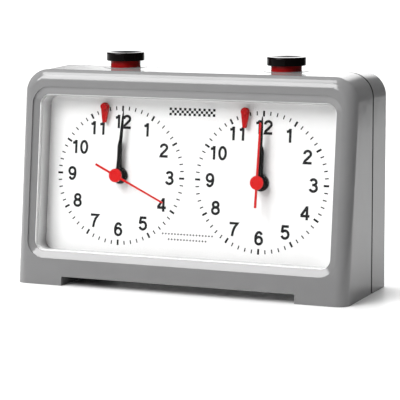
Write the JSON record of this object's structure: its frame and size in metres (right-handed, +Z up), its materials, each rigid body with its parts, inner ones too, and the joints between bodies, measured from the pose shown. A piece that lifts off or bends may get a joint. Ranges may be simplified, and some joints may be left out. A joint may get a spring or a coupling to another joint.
{
  "type": "chess clock",
  "caption": "Sloping plastic game clock with paired analogue dials behind a clear window, falling flags, and push buttons on a rocker on top.",
  "frame": {"origin": "centre of the case's footprint, on the surface it stands on", "axes": "+X to the player's right along the width, +Y from the dials to the back, +Z up"},
  "size_m": [0.17, 0.0572, 0.111],
  "materials": {
    "case_grey": "glossy moulded plastic",
    "dial_white": "printed white sheet",
    "window_clear": "clear moulded plastic",
    "button_red": "glossy moulded plastic",
    "button_black": "glossy moulded plastic",
    "hand_black": "black lacquer on aluminium",
    "hand_red": "red lacquer on aluminium",
    "flag_red": "glossy moulded plastic",
    "nut_black": "blackened brass",
    "lever_black": "moulded plastic",
    "movement_black": "moulded plastic",
    "gear_white": "moulded acetal",
    "pin_brass": "turned",
    "contact_bronze": "stamped spring bronze",
    "spring_steel": "stamped",
    "screw_steel": "zinc plated",
    "coil_copper": "enamelled copper wire",
    "board_green": "solder mask",
    "battery_jacket": "plain printed jacket"
  },
  "bodies": {
    "case": {"front_shell": "case_grey", "rear_shell": "case_grey", "case_screws": "screw_steel", "dial_plate": "dial_white", "dial_screws": "screw_steel", "window": "window_clear", "flag_pins": "pin_brass", "rocker_pin": "screw_steel", "detent_spring": "spring_steel", "switch_board": "board_green", "contact_studs": "contact_bronze", "mounting_nuts": "nut_black", "battery": "battery_jacket", "battery_plate": "spring_steel", "battery_spring": "spring_steel", "button_collar_left": "case_grey", "case_front_left": "movement_black", "case_back_left": "movement_black", "stator_left": "spring_steel", "coil_left": "coil_copper", "pcb_left": "board_green", "button_collar_right": "case_grey", "case_front_right": "movement_black", "case_back_right": "movement_black", "stator_right": "spring_steel", "coil_right": "coil_copper", "pcb_right": "board_green"},
    "rocker": {"rocker": "lever_black", "contact_leaves": "contact_bronze"},
    "battery_door": {"battery_door": "case_grey"},
    "plunger_left": {"button_stem_left": "button_red", "button_cap_left": "button_black"},
    "plunger_right": {"button_stem_right": "button_red", "button_cap_right": "button_black"},
    "seconds_left": {"seconds_wheel_left": "gear_white", "seconds_hand_left": "hand_red"},
    "step_left": {"step_wheel_left": "gear_white"},
    "rotor_left": {"rotor_left": "gear_white"},
    "third_left": {"third_wheel_left": "gear_white"},
    "centre_left": {"center_gear_left": "gear_white"},
    "setting_left": {"set_knob_left": "movement_black"},
    "minutes_left": {"center_arbor_left": "pin_brass", "minute_hand_left": "hand_black"},
    "motion_left": {"minute_wheel_left": "gear_white"},
    "hours_left": {"hour_wheel_left": "gear_white", "hour_hand_left": "hand_black"},
    "flag_left": {"flag_left": "flag_red"},
    "seconds_right": {"seconds_wheel_right": "gear_white", "seconds_hand_right": "hand_red"},
    "step_right": {"step_wheel_right": "gear_white"},
    "rotor_right": {"rotor_right": "gear_white"},
    "third_right": {"third_wheel_right": "gear_white"},
    "centre_right": {"center_gear_right": "gear_white"},
    "setting_right": {"set_knob_right": "movement_black"},
    "minutes_right": {"center_arbor_right": "pin_brass", "minute_hand_right": "hand_black"},
    "motion_right": {"minute_wheel_right": "gear_white"},
    "hours_right": {"hour_wheel_right": "gear_white", "hour_hand_right": "hand_black"},
    "flag_right": {"flag_right": "flag_red"}
  },
  "joints": [
    {"name": "rocker_tilt", "type": "hinge", "parent": "case", "child": "rocker", "pos_m": [0, 0.00863, 0.088], "axis": [0, 1, 0], "range_deg": [-2.39, 1.7]},
    {"name": "plunger_left_slide", "type": "slide", "parent": "case", "child": "plunger_left", "axis": [0, 0, 1], "range_m": [-0.00176, 0.00126]},
    {"name": "plunger_right_slide", "type": "slide", "parent": "case", "child": "plunger_right", "axis": [0, 0, 1], "range_m": [-0.00126, 0.00176]},
    {"name": "seconds_left_spin", "type": "hinge", "parent": "case", "child": "seconds_left", "pos_m": [-0.0365, -0.01002, 0.0526], "axis": [0, 0.9934, -0.1145], "continuous": true},
    {"name": "step_left_spin", "type": "hinge", "parent": "case", "child": "step_left", "pos_m": [-0.0365, 0.00177, 0.05879], "axis": [0, 0.9934, -0.1145], "continuous": true},
    {"name": "rotor_left_spin", "type": "hinge", "parent": "case", "child": "rotor_left", "pos_m": [-0.04, 0.00345, 0.0647], "axis": [0, 0.9934, -0.1145], "continuous": true},
    {"name": "third_left_spin", "type": "hinge", "parent": "case", "child": "third_left", "pos_m": [-0.0421, -0.00271, 0.04612], "axis": [0, 0.9934, -0.1145], "continuous": true},
    {"name": "centre_left_spin", "type": "hinge", "parent": "case", "child": "centre_left", "pos_m": [-0.0365, -0.00307, 0.0518], "axis": [0, 0.9934, -0.1145], "continuous": true},
    {"name": "setting_left_spin", "type": "hinge", "parent": "case", "child": "setting_left", "pos_m": [-0.02802, 0.01881, 0.04074], "axis": [0, 0.9934, -0.1145], "continuous": true},
    {"name": "minutes_left_spin", "type": "hinge", "parent": "case", "child": "minutes_left", "pos_m": [-0.0365, -0.01002, 0.0526], "axis": [0, 0.9934, -0.1145], "continuous": true},
    {"name": "motion_left_spin", "type": "hinge", "parent": "case", "child": "motion_left", "pos_m": [-0.03226, -0.00554, 0.04781], "axis": [0, 0.9934, -0.1145], "continuous": true},
    {"name": "hours_left_spin", "type": "hinge", "parent": "case", "child": "hours_left", "pos_m": [-0.0365, -0.00903, 0.05248], "axis": [0, 0.9934, -0.1145], "continuous": true},
    {"name": "flag_left_swing", "type": "hinge", "parent": "case", "child": "flag_left", "pos_m": [-0.0451, -0.00838, 0.08558], "axis": [0, -0.9934, 0.1145], "range_deg": [0, 75]},
    {"name": "seconds_right_spin", "type": "hinge", "parent": "case", "child": "seconds_right", "pos_m": [0.0365, -0.01002, 0.0526], "axis": [0, 0.9934, -0.1145], "continuous": true},
    {"name": "step_right_spin", "type": "hinge", "parent": "case", "child": "step_right", "pos_m": [0.0365, 0.00177, 0.05879], "axis": [0, 0.9934, -0.1145], "continuous": true},
    {"name": "rotor_right_spin", "type": "hinge", "parent": "case", "child": "rotor_right", "pos_m": [0.033, 0.00345, 0.0647], "axis": [0, 0.9934, -0.1145], "continuous": true},
    {"name": "third_right_spin", "type": "hinge", "parent": "case", "child": "third_right", "pos_m": [0.0309, -0.00271, 0.04612], "axis": [0, 0.9934, -0.1145], "continuous": true},
    {"name": "centre_right_spin", "type": "hinge", "parent": "case", "child": "centre_right", "pos_m": [0.0365, -0.00307, 0.0518], "axis": [0, 0.9934, -0.1145], "continuous": true},
    {"name": "setting_right_spin", "type": "hinge", "parent": "case", "child": "setting_right", "pos_m": [0.04498, 0.01881, 0.04074], "axis": [0, 0.9934, -0.1145], "continuous": true},
    {"name": "minutes_right_spin", "type": "hinge", "parent": "case", "child": "minutes_right", "pos_m": [0.0365, -0.01002, 0.0526], "axis": [0, 0.9934, -0.1145], "continuous": true},
    {"name": "motion_right_spin", "type": "hinge", "parent": "case", "child": "motion_right", "pos_m": [0.04074, -0.00554, 0.04781], "axis": [0, 0.9934, -0.1145], "continuous": true},
    {"name": "hours_right_spin", "type": "hinge", "parent": "case", "child": "hours_right", "pos_m": [0.0365, -0.00903, 0.05248], "axis": [0, 0.9934, -0.1145], "continuous": true},
    {"name": "flag_right_swing", "type": "hinge", "parent": "case", "child": "flag_right", "pos_m": [0.0279, -0.00838, 0.08558], "axis": [0, -0.9934, 0.1145], "range_deg": [0, 75]},
    {"name": "battery_door_pull", "type": "slide", "parent": "case", "child": "battery_door", "axis": [0, 1, 0], "range_m": [0, 0.03]}
  ],
  "couplings": [
    {"joint": "plunger_left_slide", "follows": "rocker_tilt", "m_per_rad": 0.042},
    {"joint": "plunger_right_slide", "follows": "rocker_tilt", "m_per_rad": -0.042},
    {"joint": "step_left_spin", "follows": "seconds_left_spin", "ratio": -5},
    {"joint": "rotor_left_spin", "follows": "seconds_left_spin", "ratio": 30},
    {"joint": "third_left_spin", "follows": "seconds_left_spin", "ratio": -0.125},
    {"joint": "centre_left_spin", "follows": "seconds_left_spin", "ratio": 0.016667},
    {"joint": "minutes_left_spin", "follows": "setting_left_spin", "ratio": 1},
    {"joint": "motion_left_spin", "follows": "setting_left_spin", "ratio": -0.33333},
    {"joint": "hours_left_spin", "follows": "setting_left_spin", "ratio": 0.083333},
    {"joint": "step_right_spin", "follows": "seconds_right_spin", "ratio": -5},
    {"joint": "rotor_right_spin", "follows": "seconds_right_spin", "ratio": 30},
    {"joint": "third_right_spin", "follows": "seconds_right_spin", "ratio": -0.125},
    {"joint": "centre_right_spin", "follows": "seconds_right_spin", "ratio": 0.016667},
    {"joint": "minutes_right_spin", "follows": "setting_right_spin", "ratio": 1},
    {"joint": "motion_right_spin", "follows": "setting_right_spin", "ratio": -0.33333},
    {"joint": "hours_right_spin", "follows": "setting_right_spin", "ratio": 0.083333}
  ]
}
